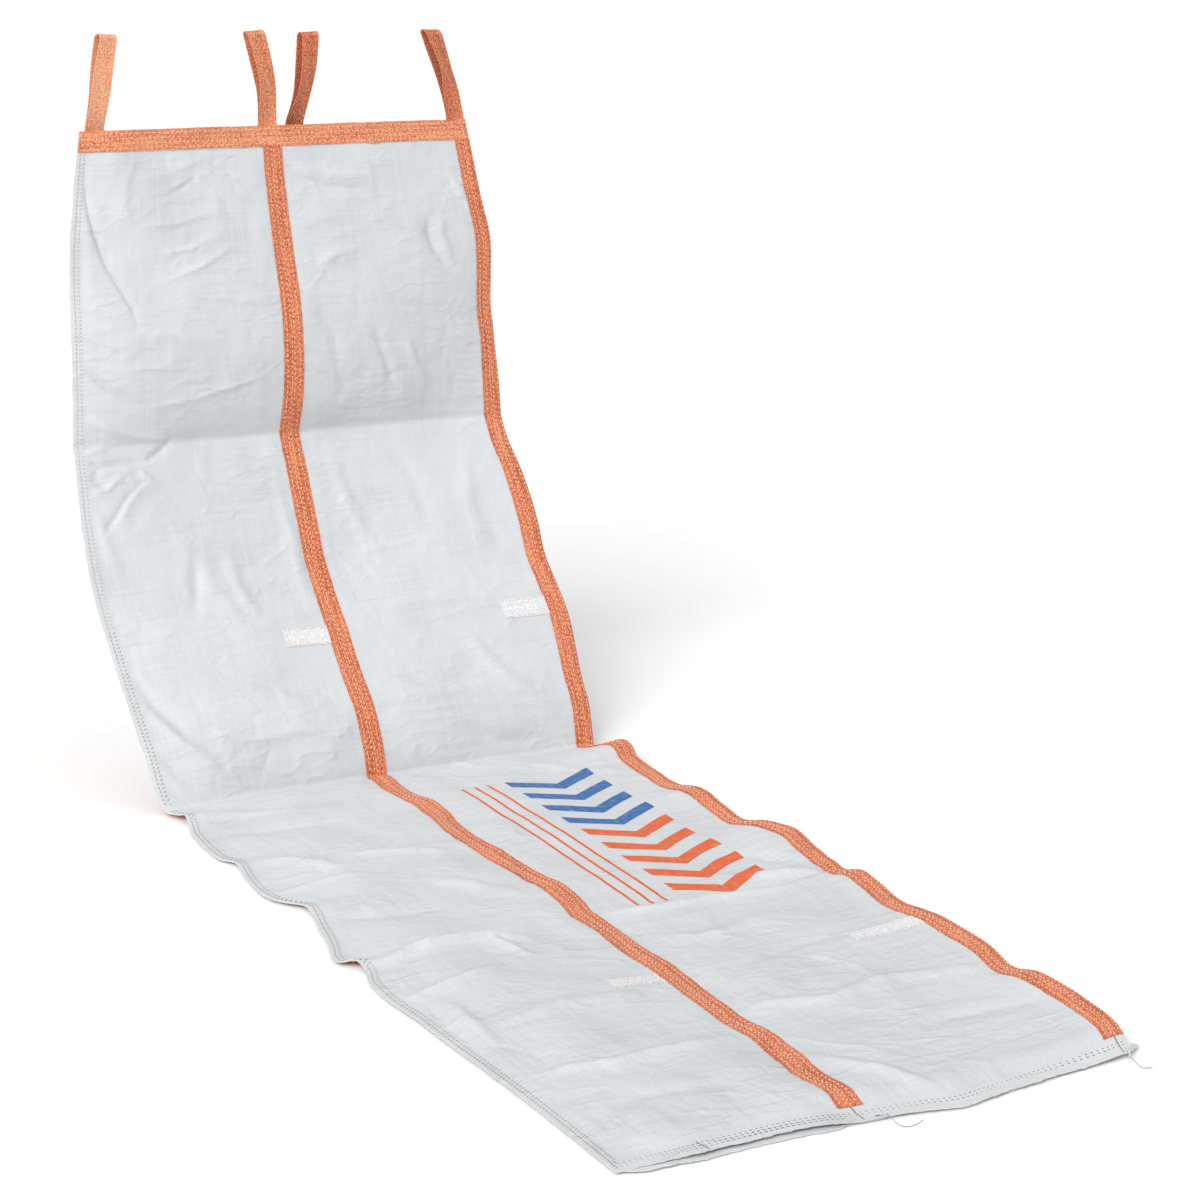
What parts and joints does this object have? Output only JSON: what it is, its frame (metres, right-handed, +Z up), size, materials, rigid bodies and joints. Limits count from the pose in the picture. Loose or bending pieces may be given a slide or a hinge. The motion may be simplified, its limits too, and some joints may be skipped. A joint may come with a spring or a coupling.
{
  "type": "fabric chute",
  "caption": "Flat-folded woven fabric tube with webbing seams and hanging loops, hung by its mouth with its lower half laid along the floor, to guide loose material down.",
  "frame": {"origin": "the hanging point, midway between the crowns of the four loops", "axes": "+Z up, +X across the chute, -Y along the floor towards the outlet"},
  "size_m": [0.9661, 2.3137, 1.4292],
  "materials": {
    "woven_cloth": "matt woven polypropylene tape",
    "seam_cloth": "doubled woven polypropylene with two rows of stitching",
    "orange_webbing": "coarse polypropylene webbing",
    "white_webbing": "coarse polypropylene webbing",
    "sewing_thread": "twisted thread"
  },
  "bodies": {
    "top_section": {"top_front_left_panel": "woven_cloth", "top_front_right_panel": "woven_cloth", "top_back_left_panel": "woven_cloth", "top_back_right_panel": "woven_cloth", "top_front_strap": "orange_webbing", "top_right_strap": "orange_webbing", "top_back_strap": "orange_webbing", "top_left_strap": "orange_webbing", "top_left_seam": "seam_cloth", "top_right_seam": "seam_cloth", "front_band": "orange_webbing", "back_band": "orange_webbing"},
    "middle_section": {"middle_front_left_panel": "woven_cloth", "middle_front_right_panel": "woven_cloth", "middle_back_left_panel": "woven_cloth", "middle_back_right_panel": "woven_cloth", "middle_front_strap": "orange_webbing", "middle_right_strap": "orange_webbing", "middle_back_strap": "orange_webbing", "middle_left_strap": "orange_webbing", "middle_left_seam": "seam_cloth", "middle_right_seam": "seam_cloth", "middle_front_tab": "white_webbing", "middle_right_tab": "white_webbing", "middle_back_tab": "white_webbing", "middle_left_tab": "white_webbing"},
    "rear_section": {"rear_front_left_panel": "woven_cloth", "rear_front_right_panel": "woven_cloth", "rear_back_left_panel": "woven_cloth", "rear_back_right_panel": "woven_cloth", "rear_front_strap": "orange_webbing", "rear_right_strap": "orange_webbing", "rear_back_strap": "orange_webbing", "rear_left_strap": "orange_webbing", "rear_left_seam": "seam_cloth", "rear_right_seam": "seam_cloth"},
    "outlet_section": {"outlet_front_left_panel": "woven_cloth", "outlet_front_right_panel": "woven_cloth", "outlet_back_left_panel": "woven_cloth", "outlet_back_right_panel": "woven_cloth", "outlet_front_strap": "orange_webbing", "outlet_right_strap": "orange_webbing", "outlet_back_strap": "orange_webbing", "outlet_left_strap": "orange_webbing", "outlet_left_seam": "seam_cloth", "outlet_right_seam": "seam_cloth", "outlet_front_tab": "white_webbing", "outlet_right_tab": "white_webbing", "outlet_back_tab": "white_webbing", "outlet_left_tab": "white_webbing", "front_hem": "seam_cloth", "back_hem": "seam_cloth", "centre_thread_tail": "sewing_thread", "corner_thread_tail": "sewing_thread"},
    "loop_left": {"loop_left": "orange_webbing"},
    "loop_front": {"loop_front": "orange_webbing"},
    "loop_back": {"loop_back": "orange_webbing"},
    "loop_right": {"loop_right": "orange_webbing"}
  },
  "joints": [
    {"name": "top_crease", "type": "hinge", "parent": "top_section", "child": "middle_section", "pos_m": [0, -0.1103, -0.79973], "axis": [1, 0, 0], "range_deg": [-60, 26]},
    {"name": "floor_crease", "type": "hinge", "parent": "middle_section", "child": "rear_section", "pos_m": [0, -0.53647, -1.40836], "axis": [1, 0, 0], "range_deg": [-30, 55]},
    {"name": "outlet_crease", "type": "hinge", "parent": "rear_section", "child": "outlet_section", "pos_m": [0, -1.39647, -1.40836], "axis": [1, 0, 0], "range_deg": [-150, 30]},
    {"name": "loop_left_swing", "type": "hinge", "parent": "top_section", "child": "loop_left", "pos_m": [-0.377, 0.01671, -0.18769], "axis": [1, 0, 0], "range_deg": [-110, 75]},
    {"name": "loop_front_swing", "type": "hinge", "parent": "top_section", "child": "loop_front", "pos_m": [-0.01821, -0.01678, -0.18187], "axis": [1, 0, 0], "range_deg": [-75, 110]},
    {"name": "loop_back_swing", "type": "hinge", "parent": "top_section", "child": "loop_back", "pos_m": [0.04007, 0.01671, -0.18769], "axis": [1, 0, 0], "range_deg": [-110, 75]},
    {"name": "loop_right_swing", "type": "hinge", "parent": "top_section", "child": "loop_right", "pos_m": [0.38975, -0.01678, -0.18187], "axis": [1, 0, 0], "range_deg": [-75, 110]}
  ]
}
